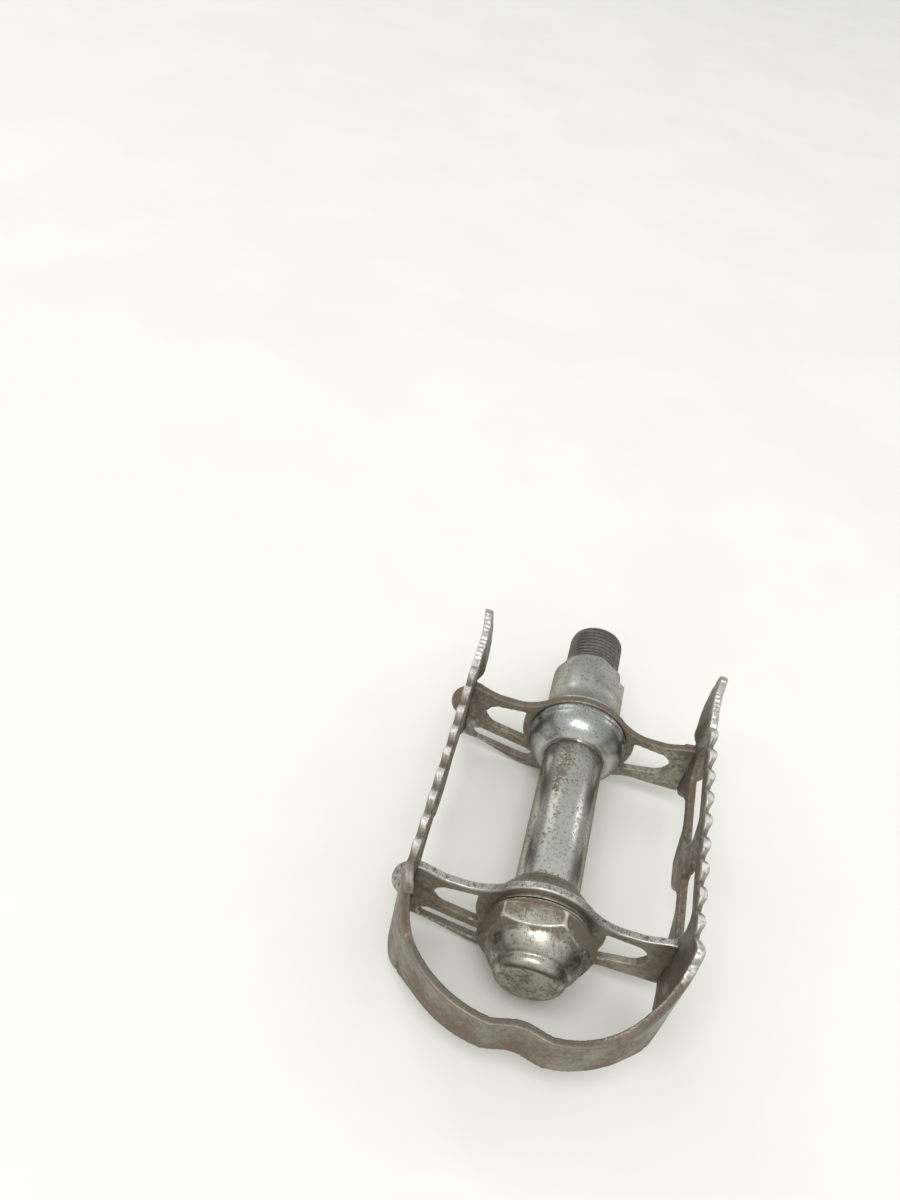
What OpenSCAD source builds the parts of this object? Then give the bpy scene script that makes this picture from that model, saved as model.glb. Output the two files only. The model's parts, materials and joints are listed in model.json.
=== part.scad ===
// Quill pedal: a toothed cage on a barrel that turns on a threaded spindle.
// +X runs along the spindle away from the crank, +Z is the toothed side.
// The origin is the centre of the spindle's shoulder face.

/* [Spindle] */
// Radius of the crank thread over its crests
crank_thread_r = 7.14; // [6.3:0.02:8]
// Length of the crank thread
crank_thread_len = 12.8; // [10:0.1:16]
// Radius of the shoulder ring behind the crank thread
shoulder_r = 8.2; // [8:0.1:9]
// Length of the shoulder ring
shoulder_len = 2.8; // [1.5:0.1:4]
// Radius of the collar that the wrench flats are cut in
collar_r = 9.6; // [9.2:0.1:10.4]
// Largest radius of the bell behind the collar
spindle_bell_r = 11; // [10.6:0.1:12]
// Length of the bell behind the collar
spindle_bell_len = 6.5; // [5:0.1:7]
// Length of the bell's straight rim
spindle_rim = 1; // [0.5:0.1:2]
// Distance across the wrench flats
wrench_flats = 15; // [14.4:0.1:17]
// Length of the wrench flats at their middle
wrench_len = 7.5; // [6:0.1:9]
// Turn of the wrench flats about the axle
wrench_turn = 53; // [0:1:89]
// Radius of the shaft at its outer end
shaft_end_r = 3.9; // [3.5:0.01:4]
// Radius of the thread at the outer end
end_thread_r = 3.97; // [3.6:0.01:4]
// Depth of the key slot in the outer thread
key_depth = 0.9; // [0.5:0.1:1.4]
// Width of the key slot
key_w = 2; // [1.2:0.1:2.6]

/* [Bearings] */
// Diameter of a ball
ball_d = 3.969; // [3.6:0.001:4.1]
// Radius of the circle through the balls' centres
ball_ring_r = 6.9; // [6.8:0.05:7]
// Number of balls in each bearing
ball_count = 10; // [7:1:10]
// Distance of the balls from the inner face of each cross plate
ball_inset = 0.2; // [0:0.1:0.6]

/* [Barrel] */
// Outer radius of the tube
tube_r = 7.4; // [7.2:0.1:7.8]
// Wall of the tube
tube_wall = 1.4; // [1:0.1:1.6]
// Depth that the tube goes into each cup
tube_socket = 2.6; // [1.5:0.1:2.8]
// Largest radius of each cup
cup_r = 12.4; // [11.8:0.1:13]
// Length of the inner cup between its cross plate and the tube
inner_cup_len = 8.4; // [7.6:0.1:10]
// Radius of the inner cup at the tube
inner_throat_r = 8.6; // [8.4:0.1:9.5]
// Length of the outer cup between its cross plate and the tube
outer_cup_len = 5.5; // [5:0.1:7]
// Radius of the outer cup at the tube
outer_throat_r = 8; // [7.9:0.1:9]
// Length of the straight rim of each cup
cup_rim = 1.8; // [1:0.1:2.4]
// Radius of the neck that passes through the cross plate
neck_r = 10.2; // [10:0.1:10.4]
// Radius of the peened lip that holds the cross plate
lip_r = 11.2; // [10.8:0.1:11.6]
// Height of the peened lip
lip_h = 0.8; // [0.5:0.1:1]
// Length of the outer neck past the cross plate
neck_out = 5.2; // [4:0.1:6]

/* [Dust cap] */
// Distance across the cap's hexagon
cap_flats = 22.9; // [22.6:0.1:24]
// Turn of the hexagon about the axle
cap_turn = 13; // [0:1:59]
// Length of the hexagon
cap_hex_len = 5.5; // [5:0.1:7]
// Radius of the round foot under the hexagon
cap_foot_r = 11.3; // [11:0.1:11.4]
// Length of the round foot
cap_foot_len = 1.2; // [0.8:0.1:1.6]
// Radius of the dome where it leaves the hexagon
dome_r = 10.9; // [10.4:0.1:11.2]
// Radius of the dome at its crease
crease_r = 8.4; // [8.2:0.1:9]
// Length of the dome from the hexagon to its crease
dome_len = 3.9; // [3:0.1:5]
// Radius of the button on the dome
button_r = 7.9; // [7:0.1:8.1]
// Length of the button
button_len = 2.9; // [2.6:0.1:4]
// Radius of the button's rounded edge
button_edge = 2.3; // [1:0.1:2.5]
// Wall of the cap over its hollow
cap_wall = 1.6; // [1.2:0.1:2]

/* [Adjusting parts] */
// Radius of the adjusting cone's body
cone_r = 6.6; // [6.3:0.1:6.8]
// Length of the adjusting cone past the balls
cone_len = 5; // [4:0.1:5.4]
// Distance across the cone's two flats
cone_flats = 11; // [10:0.1:12]
// Radius of the keyed washer
washer_r = 6.4; // [5.5:0.1:7]
// Thickness of the keyed washer
washer_h = 0.8; // [0.5:0.1:1]
// Distance across the lock nut's hexagon
nut_flats = 12; // [11:0.1:12.4]
// Thickness of the lock nut
nut_h = 3.2; // [2.6:0.1:3.4]
// Length of the thread past the lock nut
end_past = 0.6; // [0.2:0.1:0.8]

/* [Cage] */
// Width of the cage over its side plates
cage_w = 61.6; // [58:0.5:66]
// Thickness of the cage strip and of the cross plates
sheet = 1.9; // [1.6:0.1:2.2]
// Distance from the shoulder face to the inner cross plate
cage_offset = 20.2; // [19.8:0.1:22]
// Clear distance between the two cross plates
plate_gap = 52.9; // [50:0.1:56]
// Corner radius of the loop
loop_corner_r = 27.4; // [25:0.1:28]
// Distance from the outer cross plate to the centres of the corners
loop_reach = 1.1; // [0.6:0.1:4]
// Bulge of the corners past the side plates
corner_bulge = 0.95; // [0.2:0.05:1.4]
// Height of the strip at the front of the loop
loop_h = 10.8; // [9:0.1:13]
// Height of the strip's middle above the axle at the front
loop_z = 1.2; // [-2:0.1:2]
// Depth of the strip's lower edge in the corners
corner_dip = -12.9; // [-14:0.1:-12]
// Depth of the dent at the front of the loop
dent_depth = 1.3; // [0.5:0.1:2.5]
// Half width of the dent
dent_half = 7.5; // [6:0.1:11]
// Sideways spread of the horns at their tips
horn_spread = 1; // [0.5:0.1:3]
// Distance from the shoulder face to the horns' tips
horn_tip_x = 7.6; // [6:0.1:10]
// Height of the horns' tips above the axle
horn_tip_z = 21.8; // [20:0.1:23]

/* [Side plates] */
// Height of the tooth crests above the axle
crest_z = 18.9; // [18:0.1:20]
// Distance between neighbouring teeth
tooth_pitch = 6.38; // [6:0.01:6.6]
// Number of teeth on each side plate
tooth_count = 10; // [8:1:10]
// Radius of a tooth's rounded crest
tooth_r = 3.4; // [3.35:0.05:3.8]
// Distance from the outer cross plate to the last tooth's crest
tooth_past = 6.06; // [5:0.01:8]
// Forward shift of the front plate's teeth
tooth_shift = 2.4; // [0:0.1:3]
// Height of the windows' upper edge above the axle
window_top = 14; // [12:0.1:14.6]
// Height of the windows' lower edge above the axle
window_bottom = 2.8; // [2.6:0.1:5]
// Rounding of the windows' corners
window_round = 1.5; // [0.5:0.1:2.2]
// Width of the web between the windows where it is narrowest
web_w = 6; // [4:0.1:9]
// Width of the web at its top
web_top_w = 12; // [9:0.1:14]
// Distance from the outer cross plate to the web's middle
web_back = 22.6; // [20:0.1:26]
// Height of the lower bar's underside above the axle
bar_bottom = 0.3; // [-1:0.1:0.6]
// Distance from the outer cross plate to the tab's middle
tab_back = 26.6; // [24:0.1:30]
// Height of the tab's tip above the axle
tab_z = -6.1; // [-8:0.1:-4]
// Width of the tab's tip
tab_w = 5.4; // [4:0.1:8]
// Length of the curve on each side of the tab
tab_sweep = 7.4; // [5:0.1:8]
// Length of the curve from the lower bar to each cross plate
foot_sweep = 13; // [10:0.1:14]
// Height of the rear plate's feet above the axle
rear_foot_z = -9.7; // [-11:0.1:-9]
// Height of the front plate's feet above the axle
front_foot_z = -11.8; // [-13:0.1:-10]
// Distance that the side plates pass the inner cross plate
plate_past = 2.8; // [2:0.1:4]
// Length of the crease in each corner's outer face
crease_len = 10; // [6:0.5:12]
// Depth of the crease
crease_depth = 0.7; // [0.4:0.1:1]

/* [Cross plates] */
// Radius of the domed edge round the barrel
dome_edge_r = 12.9; // [12.8:0.1:14]
// Height of the wings' top edge above the axle
wing_top = 5; // [4.6:0.1:6]
// Height of the wings' ends above the axle
wing_end_top = 6.9; // [6:0.1:8]
// Radius of the hollow between the dome and a wing
wing_fillet = 12; // [6:0.5:14]
// Radius of the fan windows' inner edge
fan_inner_r = 14.4; // [14.2:0.1:15]
// Reach of the fan windows from the axle
fan_reach = 24.9; // [23:0.1:25.5]
// Height of the fan windows' upper corner
fan_top = 3.4; // [2.6:0.1:3.6]
// Height of the fan windows' lower corner
fan_bottom = -6.8; // [-7:0.1:-5.5]
// Rounding of the fan windows' outer end
fan_round = 2; // [1:0.1:2.5]
// Height of the rear wing's lower edge above the axle
rear_wing_bottom = -9.7; // [-11:0.1:-9]
// Height of the lower edge under the barrel
plate_bottom = -17.1; // [-18:0.1:-16.5]
// Width of the slot low in the front wing
low_slot_w = 4.3; // [3.5:0.1:4.5]
// Length of the slot between its end centres
low_slot_len = 13; // [9:0.5:13.5]
// Radius of the peened heads outside the side plates
peen_r = 3.7; // [3.2:0.1:4]
// Height of a peened head
peen_h = 3.1; // [1.5:0.1:3.6]
// Height of a tenon where it passes the side plate
tenon_h = 4.4; // [3:0.1:4.6]

/* [Clearances] */
// Gap between a ball and its races
race_gap = 0.04; // [0.02:0.01:0.08]
// Gap round the turned fits and threads
thread_gap = 0.03; // [0.02:0.01:0.05]
// Gap between the spindle's bell and the inner cup
seal_gap = 0.3; // [0.15:0.05:0.5]
// Gap round a tenon in its slot
tenon_gap = 0.04; // [0.02:0.01:0.08]

/* [Hidden] */
round_faces = 64;
bore_faces = 96;
cut = 1;
step = 0.1;
chamfer = 0.8;
race_r = ball_d / 2 + race_gap;
mouth_r = ball_ring_r + race_r + step;
race_foot_r = ball_ring_r - race_r - step;
tube_bore_r = tube_r - tube_wall;
inner_x = cage_offset + sheet;
outer_x = inner_x + plate_gap;
face_x = outer_x + sheet;
seat_land = peen_r + step - sheet / 2;
spread_len = 6.2;
dip_len = 6.2;
inner_balls_x = inner_x - ball_inset;
outer_balls_x = outer_x + ball_inset;
bell_x = cage_offset - lip_h - seal_gap;
inner_tube_x = inner_x + inner_cup_len - tube_socket;
outer_tube_x = outer_x - outer_cup_len + tube_socket;
cone_end_x = outer_balls_x + cone_len;
nut_x = cone_end_x + washer_h;
shaft_end_x = nut_x + nut_h + end_past;
thread_start_x = outer_balls_x - race_r - 3;
foot_x = face_x + lip_h + seal_gap;
hex_x = foot_x + cap_foot_len;
dome_x = hex_x + cap_hex_len;
crease_x = dome_x + dome_len;
cap_end_x = crease_x + button_len;
half_w = cage_w / 2;
inside_w = half_w - sheet;
corner_x = face_x + loop_reach;
corner_y = half_w + corner_bulge - loop_corner_r;
front_x = corner_x + loop_corner_r;
loop_top = loop_z + loop_h / 2;
loop_bottom = loop_z - loop_h / 2;
last_tooth_x = face_x + tooth_past;
first_tooth_x = last_tooth_x - (tooth_count - 1) * tooth_pitch;
valley_z = crest_z - tooth_r + sqrt(pow(tooth_r, 2) - pow(tooth_pitch / 2, 2));
plate_end_x = cage_offset - plate_past;
flare_x = cage_offset + sheet / 2 - peen_r - step;
web_x = face_x - web_back;
tab_x = face_x - tab_back;
window_back_x = inner_x + 2.6;
window_front_x = outer_x - 0.4;
low_slot_y = -18.2;
low_slot_z = -11.2;
low_slot_turn = -12;

// An S-shaped run of points between two points
function sweep(x0, z0, x1, z1, n = 8) =
    [for (i = [0:n]) let (t = i / n) [x0 + (x1 - x0) * t, z0 + (z1 - z0) * (3 - 2 * t) * t * t]];

// A flat outline with x along the axle and y as radius, turned about the axle
module turned(faces = round_faces)
{
    rotate([0, 90, 0])
        rotate_extrude($fn = faces)
            rotate(90)
                mirror([0, 1])
                    children();
}

// A rectangle in a turned outline
module run(x0, x1, r1, r0 = 0)
{
    translate([x0, r0])
        square([x1 - x0, r1 - r0]);
}

// A circle in a turned outline
module round_at(x, r, radius)
{
    translate([x, r])
        circle(radius, $fn = bore_faces);
}

// An outline in the cross plates' plane, raised along the axle
module across_axle(x, length)
{
    translate([x, 0, 0])
        rotate([90, 0, 90])
            linear_extrude(length)
                children();
}

// A side view of the cage, raised along the width
module across_width(y, width)
{
    translate([0, y + width, 0])
        rotate([90, 0, 0])
            linear_extrude(width)
                children();
}

module spindle_outline()
{
    bell_start = bell_x - spindle_bell_len;
    rise = spindle_bell_r - collar_r;
    bend_len = spindle_bell_len - spindle_rim;
    bend_r = (pow(bend_len, 2) + pow(rise, 2)) / (2 * rise);
    difference() {
        union() {
            polygon([[-crank_thread_len, 0], [cut, 0], [cut, crank_thread_r],
                [chamfer - crank_thread_len, crank_thread_r],
                [-crank_thread_len, crank_thread_r - chamfer]]);
            run(0, shoulder_len + cut, shoulder_r);
            run(shoulder_len, bell_start + cut, collar_r);
            difference() {
                run(bell_start, bell_x, spindle_bell_r);
                run(bell_start - cut, bell_start + step, spindle_bell_r + cut, collar_r - step);
                intersection() {
                    run(bell_start, bell_x - spindle_rim, spindle_bell_r + cut);
                    round_at(bell_start, collar_r + bend_r, bend_r);
                }
            }
            run(bell_x - cut, inner_balls_x, mouth_r - 2 * seal_gap);
            polygon([[inner_balls_x - cut, 0], [thread_start_x + cut, 0],
                [thread_start_x + cut, shaft_end_r], [thread_start_x, shaft_end_r],
                [inner_balls_x + race_r, race_foot_r], [inner_balls_x - cut, race_foot_r]]);
            run(thread_start_x, shaft_end_x, end_thread_r);
        }
        round_at(inner_balls_x, ball_ring_r, race_r);
    }
}

module spindle()
{
    color("#a9aaa2")
        difference() {
            turned()
                spindle_outline();
            for (side = [0, 180])
                rotate([wrench_turn + side, 0, 0])
                    translate([0, wrench_flats / 2, 0])
                        rotate([-90, 0, 0])
                            linear_extrude(spindle_bell_r)
                                wrench_cut();
            translate([cone_end_x - cut, -key_w / 2, end_thread_r - key_depth])
                cube([shaft_end_x - cone_end_x + 2 * cut, key_w, key_depth + cut]);
        }
}

module wrench_cut()
{
    translate([shoulder_len + wrench_len - collar_r, 0])
        circle(collar_r, $fn = bore_faces);
    translate([shoulder_len, -spindle_bell_r])
        square([cut, 2 * spindle_bell_r]);
}

// One end of the barrel: a cup with its race, neck and lip, mouth towards -X
module cup(past, length)
{
    turned()
        difference() {
            union() {
                run(-sheet - past, cut, neck_r);
                run(-sheet - lip_h, -sheet, lip_r);
                children();
            }
            run(-sheet - past - cut, -ball_inset, mouth_r, -cut);
            round_at(-ball_inset, ball_ring_r, race_r);
            run(-ball_inset - cut, length + cut, tube_bore_r, -cut);
            run(length - tube_socket, length + cut, tube_r + thread_gap, -cut);
        }
}

module inner_cup()
{
    reach = inner_cup_len - cup_rim;
    drop = cup_r - inner_throat_r - step;
    bell_arc = (pow(reach, 2) + pow(drop, 2)) / (2 * drop);
    color("#c3c2ba")
        translate([inner_x, 0, 0])
            cup(lip_h, inner_cup_len) {
                run(0, cup_rim, cup_r);
                intersection() {
                    run(cup_rim - cut, inner_cup_len, cup_r);
                    round_at(cup_rim, cup_r - step - bell_arc, bell_arc);
                }
            }
}

module outer_cup()
{
    color("#c3c2ba")
        translate([outer_x, 0, 0])
            mirror([1, 0, 0])
                cup(neck_out, outer_cup_len)
                    polygon([[0, 0], [outer_cup_len, 0], [outer_cup_len, outer_throat_r],
                        [step, cup_r], [0, cup_r]]);
}

module barrel_tube()
{
    color("#8f938a")
        turned()
            run(inner_tube_x, outer_tube_x, tube_r, tube_bore_r);
}

module adjusting_cone()
{
    color("#a3a39c")
        difference() {
            turned()
                difference() {
                    run(outer_balls_x - cut, cone_end_x, cone_r);
                    run(outer_balls_x - 2 * cut, outer_balls_x, cone_r + cut, race_foot_r);
                    round_at(outer_balls_x, ball_ring_r, race_r);
                    run(outer_balls_x - 2 * cut, cone_end_x + cut, end_thread_r + thread_gap, -cut);
                }
            for (side = [-1, 1])
                translate([cone_end_x - cone_len / 2, side * (cone_flats / 2 + cut) - cut, -cone_r])
                    cube([cone_len, 2 * cut, 2 * cone_r]);
        }
}

module lock_washer()
{
    tab_w = key_w - 4 * thread_gap;
    tab_foot = end_thread_r - key_depth + 2 * thread_gap;
    color("#8c8c86") {
        turned()
            run(cone_end_x, nut_x, washer_r, end_thread_r + 2 * thread_gap);
        translate([cone_end_x, -tab_w / 2, tab_foot])
            cube([washer_h, tab_w, washer_r - cut - tab_foot]);
    }
}

module lock_nut()
{
    color("#9a9a93")
        difference() {
            across_axle(nut_x, nut_h)
                circle(nut_flats / 2 / cos(30), $fn = 6);
            turned()
                run(nut_x - cut, nut_x + nut_h + cut, end_thread_r + thread_gap);
        }
}

module cap_outline()
{
    hex_r = cap_flats / 2 / cos(30);
    drop = dome_r - crease_r;
    dome_c = (pow(crease_r, 2) + pow(dome_len, 2) - pow(dome_r, 2)) / (2 * dome_len);
    dome_arc = sqrt(pow(dome_c, 2) + pow(dome_r, 2));
    run(foot_x, hex_x + cut, cap_foot_r);
    polygon([[hex_x, 0], [dome_x, 0], [dome_x, dome_r + step],
        [dome_x - 2 * chamfer, hex_r + step], [hex_x + chamfer, hex_r + step],
        [hex_x, cap_foot_r]]);
    intersection() {
        run(dome_x - cut, crease_x, dome_r);
        round_at(dome_x + dome_c, 0, dome_arc);
    }
    run(crease_x - cut, cap_end_x, button_r - button_edge);
    run(crease_x - cut, cap_end_x - button_edge, button_r);
    intersection() {
        run(cap_end_x - button_edge - step, cap_end_x, button_r);
        round_at(cap_end_x - button_edge, button_r - button_edge, button_edge);
    }
}

module dust_cap()
{
    color("#b7b2a4")
        difference() {
            intersection() {
                turned()
                    cap_outline();
                across_axle(foot_x - cut, cap_end_x - foot_x + 2 * cut)
                    rotate(cap_turn)
                        circle(cap_flats / 2 / cos(30), $fn = 6);
            }
            turned()
                union() {
                    run(foot_x - cut, face_x + neck_out + step, neck_r + thread_gap);
                    run(foot_x, crease_x - cap_wall, crease_r - cap_wall + cut);
                    run(foot_x, cap_end_x - cap_wall, button_r - button_edge);
                }
        }
}

// Front and rear wing, with the belly under the barrel
module plate_outline()
{
    end = inside_w;
    difference() {
        union() {
            circle(dome_edge_r);
            polygon(concat(
                [[-end, wing_top], [-end, front_foot_z]],
                sweep(-end, front_foot_z, -9, plate_bottom, 8),
                sweep(-1, plate_bottom, 16.5, rear_wing_bottom, 8),
                [[end, rear_wing_bottom], [end, wing_top]]));
            for (side = [-1, 1]) {
                hollow = wing_fillet + wing_top;
                span = sqrt(pow(dome_edge_r + wing_fillet, 2) - pow(hollow, 2));
                difference() {
                    translate([side > 0 ? 0 : -span, 0])
                        square([span, dome_edge_r * hollow / (dome_edge_r + wing_fillet)]);
                    translate([side * span, hollow])
                        circle(wing_fillet + step / 2, $fn = bore_faces);
                }
                polygon(concat([[side * end, 0]], sweep(side * 21, wing_top, side * end, wing_end_top, 6)));
            }
        }
        for (side = [-1, 1])
            difference() {
                offset(fan_round)
                    offset(delta = -fan_round)
                        polygon([[0, fan_top + 1.4], [side * (fan_reach - 2), fan_top - 1.4],
                            [side * fan_reach, (fan_top + fan_bottom) / 2],
                            [side * (fan_reach - 2.4), fan_bottom + 1.6], [0, fan_bottom - 3]]);
                circle(fan_inner_r, $fn = bore_faces);
            }
        translate([low_slot_y, low_slot_z])
            rotate(low_slot_turn)
                hull()
                    for (end_side = [-1, 1])
                        translate([end_side * low_slot_len / 2, 0])
                            circle(low_slot_w / 2);
    }
}

module cross_plate(x)
{
    difference() {
        union() {
            across_axle(x, sheet)
                plate_outline();
            for (side = [-1, 1]) {
                translate([x, side > 0 ? inside_w - cut : -half_w - cut, -tenon_h / 2])
                    cube([sheet, sheet + 2 * cut, tenon_h]);
                translate([x + sheet / 2, side * half_w, 0])
                    rotate([-90 * side, 0, 0])
                        peen();
            }
        }
        turned(bore_faces)
            run(x - cut, x + sheet + cut, neck_r + thread_gap);
    }
}

// A domed head on its flat foot, pointing up
module peen()
{
    ball_arc = (pow(peen_r, 2) + pow(peen_h, 2)) / (2 * peen_h);
    rotate_extrude($fn = round_faces)
        intersection() {
            square([peen_r, peen_h]);
            translate([0, peen_h - ball_arc])
                circle(ball_arc, $fn = bore_faces);
        }
}

module inner_cross_plate()
{
    color("#8d867b")
        cross_plate(cage_offset);
}

module outer_cross_plate()
{
    color("#8d867b")
        cross_plate(outer_x);
}

// The strip seen from above: side plates, corners, dented front and spread horns
module band_plan()
{
    spread_r = (pow(flare_x - horn_tip_x, 2) + pow(horn_spread, 2)) / (2 * horn_spread);
    difference() {
        band_area(0);
        dent(0);
        difference() {
            band_area(sheet);
            dent(sheet);
        }
    }
    for (side = [-1, 1])
        intersection() {
            translate([horn_tip_x - cut, side > 0 ? 0 : -2 * half_w])
                square([flare_x - horn_tip_x + cut, 2 * half_w]);
            translate([flare_x, side * (half_w + spread_r)])
                difference() {
                    circle(spread_r + sheet, $fn = 3 * bore_faces);
                    circle(spread_r, $fn = 3 * bore_faces);
                }
        }
}

// What the dent takes off the front of an area
module dent(inset)
{
    front = front_x - inset;
    side_line = sweep(-dent_half, 0, 0, -dent_depth, 8);
    polygon(concat(
        [[front + cut, dent_half], [front + cut, -dent_half]],
        [for (p = side_line) [front + p[1], p[0]]],
        [for (i = [len(side_line) - 2:-1:0]) [front + side_line[i][1], -side_line[i][0]]]));
}

module band_area(inset)
{
    open_end = inset > 0 ? cut : 0;
    side_y = half_w - inset;
    spread_x = face_x + seat_land;
    spread = 0.75 * corner_bulge;
    translate([flare_x - open_end, -side_y])
        square([spread_x + open_end - flare_x, 2 * side_y]);
    for (side = [0, 1])
        mirror([0, side])
            intersection() {
                translate([corner_x, -corner_y])
                    circle(loop_corner_r - inset, $fn = 2 * bore_faces);
                polygon([[spread_x, 0], [spread_x, -side_y], [spread_x + spread_len, -side_y - spread],
                    [front_x + cut, -side_y - spread], [front_x + cut, 0]]);
            }
    translate([face_x, -corner_y])
        square([front_x - inset - face_x, 2 * corner_y]);
}

// The side view of the strip: teeth and horn above, bar, tab and feet below
module band_side(foot_z, shift, top_start, top_end)
{
    polygon(concat(
        [[horn_tip_x + 1.2, horn_tip_z - 2.4], [cage_offset - 7.4, horn_tip_z - 6.6],
            [cage_offset - 3.4, horn_tip_z - 11], [cage_offset - 0.6, wing_end_top - 0.4],
            [plate_end_x, wing_end_top - 3.4], [plate_end_x, foot_z + 1.5], [plate_end_x + 1.5, foot_z]],
        sweep(inner_x - cut, foot_z, inner_x + foot_sweep - cut, bar_bottom, 8),
        sweep(tab_x - tab_w / 2 - tab_sweep, bar_bottom, tab_x - tab_w / 2, tab_z, 8),
        sweep(tab_x + tab_w / 2, tab_z, tab_x + tab_w / 2 + tab_sweep, bar_bottom, 8),
        sweep(outer_x + cut - foot_sweep, bar_bottom, outer_x + cut, foot_z, 8),
        sweep(face_x + cut, foot_z, face_x + dip_len, corner_dip, 5),
        sweep(front_x - 19, corner_dip, front_x - 6, loop_bottom, 8),
        [[front_x + cut, loop_bottom], [front_x + cut, loop_top]],
        sweep(top_end, loop_top, top_start, valley_z + 0.4, 10),
        [[min(top_start, last_tooth_x) - step, valley_z - 0.2], [first_tooth_x + shift, valley_z - 0.2],
            [first_tooth_x - tooth_pitch / 2, valley_z + 0.5],
            [horn_tip_x + 2.4, horn_tip_z], [horn_tip_x + 0.8, horn_tip_z - 0.2],
            [horn_tip_x, horn_tip_z - 1]]));
    intersection() {
        for (i = [0:tooth_count - 1])
            translate([last_tooth_x + shift - i * tooth_pitch, crest_z - tooth_r])
                circle(tooth_r, $fn = bore_faces);
        translate([first_tooth_x - tooth_pitch, valley_z - cut])
            square([(tooth_count + 1) * tooth_pitch + shift, crest_z]);
    }
}

// Two windows with an hourglass web between them
module band_windows()
{
    mid_z = (window_top + window_bottom) / 2;
    waist_z = mid_z + 1.6;
    offset(window_round)
        offset(delta = -window_round)
            polygon([[window_back_x + 1.5, window_top], [web_x - web_top_w / 2, window_top],
                [web_x - web_w / 2, waist_z], [web_x - web_w / 2 - 1.8, mid_z - 2.6],
                [web_x - web_top_w / 2 - 2.4, window_bottom], [window_back_x + 3, window_bottom],
                [window_back_x, mid_z]]);
    offset(window_round)
        offset(delta = -window_round)
            polygon([[window_front_x - 1.5, window_top], [web_x + web_top_w / 2, window_top],
                [web_x + web_w / 2, waist_z], [web_x + web_w / 2, mid_z - 2.6],
                [web_x + web_w / 2 - 1.6, window_bottom], [window_front_x - 2, window_bottom],
                [window_front_x, mid_z + 2]]);
}

module cage_band()
{
    color("#9b8f80")
        difference() {
            intersection() {
                translate([0, 0, corner_dip - cut])
                    linear_extrude(horn_tip_z - front_foot_z + 4 * cut)
                        band_plan();
                union() {
                    across_width(0, cage_w)
                        band_side(rear_foot_z, 0, last_tooth_x + 2.4, front_x - 2.5);
                    across_width(-cage_w, cage_w)
                        band_side(front_foot_z, tooth_shift, last_tooth_x - 1, front_x - 12);
                }
            }
            across_width(-cage_w, 2 * cage_w)
                band_windows();
            for (x = [cage_offset, outer_x])
                translate([x - tenon_gap, -cage_w, -tenon_h / 2 - tenon_gap])
                    cube([sheet + 2 * tenon_gap, 2 * cage_w, tenon_h + 2 * tenon_gap]);
            for (side = [-1, 1])
                corner_crease(side);
        }
}

// A shallow almond-shaped groove low on the outer face of a corner
module corner_crease(side)
{
    turn = 33;
    translate([corner_x, side * corner_y, corner_dip + 6.5])
        rotate([0, 0, side * (90 - turn)])
            translate([loop_corner_r + crease_len - crease_depth, 0, 0])
                rotate([90, 0, 0])
                    translate([0, 0, -cut / 2])
                        cylinder(h = cut, r = crease_len, $fn = bore_faces);
}

module ball(x, i)
{
    rotate([360 * (i - 1) / ball_count, 0, 0])
        translate([x, 0, ball_ring_r])
            sphere(d = ball_d, $fn = round_faces / 2);
}

module inner_ball(i)
{
    color("#b9bcbe")
        ball(inner_balls_x, i);
}

module outer_ball(i)
{
    color("#b9bcbe")
        ball(outer_balls_x, i);
}

spindle();
adjusting_cone();
lock_washer();
lock_nut();
barrel_tube();
inner_cup();
outer_cup();
dust_cap();
inner_cross_plate();
outer_cross_plate();
cage_band();
for (i = [1:ball_count]) {
    inner_ball(i);
    outer_ball(i);
}
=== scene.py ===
import json
import math

import bmesh
import bpy
import numpy as np
from mathutils import Matrix, Vector, noise

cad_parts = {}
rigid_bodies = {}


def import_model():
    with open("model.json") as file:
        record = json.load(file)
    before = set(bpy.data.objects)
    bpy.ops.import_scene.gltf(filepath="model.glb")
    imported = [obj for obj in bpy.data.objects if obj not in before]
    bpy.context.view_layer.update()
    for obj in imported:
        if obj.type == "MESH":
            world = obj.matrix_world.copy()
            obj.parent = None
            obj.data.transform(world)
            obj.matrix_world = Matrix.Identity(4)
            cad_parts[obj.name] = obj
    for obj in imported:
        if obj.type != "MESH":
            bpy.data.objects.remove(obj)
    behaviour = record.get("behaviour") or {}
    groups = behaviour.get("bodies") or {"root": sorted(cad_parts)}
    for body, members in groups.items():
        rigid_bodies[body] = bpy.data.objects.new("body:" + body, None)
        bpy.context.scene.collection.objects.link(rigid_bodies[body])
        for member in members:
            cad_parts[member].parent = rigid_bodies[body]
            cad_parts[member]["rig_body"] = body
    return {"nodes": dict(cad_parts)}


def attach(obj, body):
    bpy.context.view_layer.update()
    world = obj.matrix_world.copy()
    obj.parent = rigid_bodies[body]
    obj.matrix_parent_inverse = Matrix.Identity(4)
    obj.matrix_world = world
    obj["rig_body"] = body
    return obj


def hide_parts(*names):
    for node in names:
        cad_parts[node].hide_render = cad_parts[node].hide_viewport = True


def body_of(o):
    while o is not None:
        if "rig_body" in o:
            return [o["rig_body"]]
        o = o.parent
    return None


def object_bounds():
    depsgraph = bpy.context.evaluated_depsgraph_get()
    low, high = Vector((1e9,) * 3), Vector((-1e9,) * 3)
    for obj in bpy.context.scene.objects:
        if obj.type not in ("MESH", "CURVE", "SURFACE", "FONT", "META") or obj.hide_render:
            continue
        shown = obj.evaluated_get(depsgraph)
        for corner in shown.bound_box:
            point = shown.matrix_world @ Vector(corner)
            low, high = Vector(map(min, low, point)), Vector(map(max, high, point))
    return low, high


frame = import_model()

cadLow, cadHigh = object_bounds()
nodes = frame["nodes"]
mm = 0.001
weldReach = 1e-6
cutReach = 1e-7


# Camera and studio
print("camera and studio")

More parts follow.
